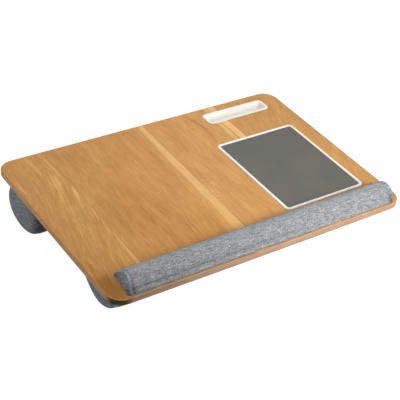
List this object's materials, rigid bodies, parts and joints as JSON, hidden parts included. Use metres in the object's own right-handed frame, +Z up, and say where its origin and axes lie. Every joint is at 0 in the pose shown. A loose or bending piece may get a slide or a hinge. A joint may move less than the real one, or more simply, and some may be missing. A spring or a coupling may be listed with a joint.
{
  "type": "lap desk",
  "caption": "Sloping lap desk: oak-faced board on two fabric bolster cushions, with a let-in mouse pad, a phone slot and a padded wrist rest.",
  "frame": {"origin": "centre of the footprint on the surface it stands on", "axes": "+X to the user's right along the long side, +Y away from the user to the raised rear edge, +Z up"},
  "size_m": [0.54, 0.358, 0.0823],
  "materials": {
    "oak_veneer": "satin oak print",
    "oak_edging": "satin oak edging strip",
    "fibreboard": "raw fibreboard",
    "backing_sheet": "matt balancing sheet",
    "white_plastic": "satin white moulding",
    "pad_skin": "fine-grained matt skin",
    "pad_rubber": "matt rubber",
    "cushion_fabric": "heathered blue-grey weave",
    "foam": "open-cell foam",
    "bonding_tape": "double-sided tape"
  },
  "bodies": {
    "root": {"deck_core": "fibreboard", "top_veneer": "oak_veneer", "bottom_liner": "backing_sheet", "edge_band": "oak_edging", "mouse_pad_tray": "white_plastic", "mouse_pad_backing": "pad_rubber", "mouse_pad_surface": "pad_skin", "phone_tray": "white_plastic", "wrist_rest_cover": "cushion_fabric", "wrist_rest_left_end": "cushion_fabric", "wrist_rest_right_end": "cushion_fabric", "wrist_rest_foam": "foam", "wrist_rest_base": "fibreboard", "wrist_rest_tape": "bonding_tape", "rear_cushion_cover": "cushion_fabric", "rear_cushion_left_end": "cushion_fabric", "rear_cushion_right_end": "cushion_fabric", "rear_cushion_foam": "foam", "rear_cushion_base": "fibreboard", "rear_cushion_tape": "bonding_tape", "front_cushion_cover": "cushion_fabric", "front_cushion_left_end": "cushion_fabric", "front_cushion_right_end": "cushion_fabric", "front_cushion_foam": "foam", "front_cushion_base": "fibreboard", "front_cushion_tape": "bonding_tape"}
  },
  "joints": []
}
